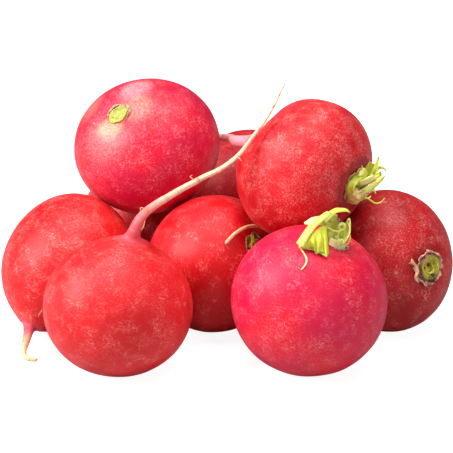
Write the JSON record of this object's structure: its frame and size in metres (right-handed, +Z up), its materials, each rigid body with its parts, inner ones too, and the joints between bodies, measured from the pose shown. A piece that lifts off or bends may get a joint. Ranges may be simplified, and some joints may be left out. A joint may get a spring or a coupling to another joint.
{
  "type": "bunch of radishes",
  "caption": "Loose heap of round red radishes with cut-off leaf stalks and long tap roots, lying on a surface, for kitchens, market stalls and food scenes.",
  "frame": {"origin": "on the surface that the heap lies on, under the middle of the heap's bounding box", "axes": "+Z up; -Y is the heap's front, with the torn leaf and the long roots towards it; +X to the right of someone facing that front"},
  "size_m": [0.1346, 0.1382, 0.0777],
  "materials": {
    "skin_top_left": "satin",
    "skin_top_right": "satin",
    "skin_left": "satin",
    "skin_front_left": "satin",
    "skin_middle": "satin",
    "skin_front_right": "satin",
    "skin_right": "satin",
    "skin_back_right": "satin",
    "skin_back_left": "satin",
    "leaf_stalk": "satin",
    "withered_leaf_base": "matte"
  },
  "bodies": {
    "root": {"radish_top_left": "skin_top_left", "radish_top_right": "skin_top_right", "radish_left": "skin_left", "radish_front_left": "skin_front_left", "radish_middle": "skin_middle", "radish_front_right": "skin_front_right", "radish_right": "skin_right", "radish_back_right": "skin_back_right", "radish_back_left": "skin_back_left", "leaf_stubs_top_left": "leaf_stalk", "leaf_stubs_top_right": "leaf_stalk", "leaf_stubs_left": "leaf_stalk", "leaf_stubs_front_left": "leaf_stalk", "leaf_stubs_middle": "leaf_stalk", "leaf_stubs_front_right": "leaf_stalk", "leaf_stubs_right": "leaf_stalk", "leaf_stubs_back_right": "leaf_stalk", "leaf_stubs_back_left": "leaf_stalk", "collar_top_left": "withered_leaf_base", "collar_top_right": "withered_leaf_base", "collar_middle": "withered_leaf_base", "collar_front_right": "withered_leaf_base", "collar_right": "withered_leaf_base", "collar_back_right": "withered_leaf_base", "collar_back_left": "withered_leaf_base"}
  },
  "joints": []
}
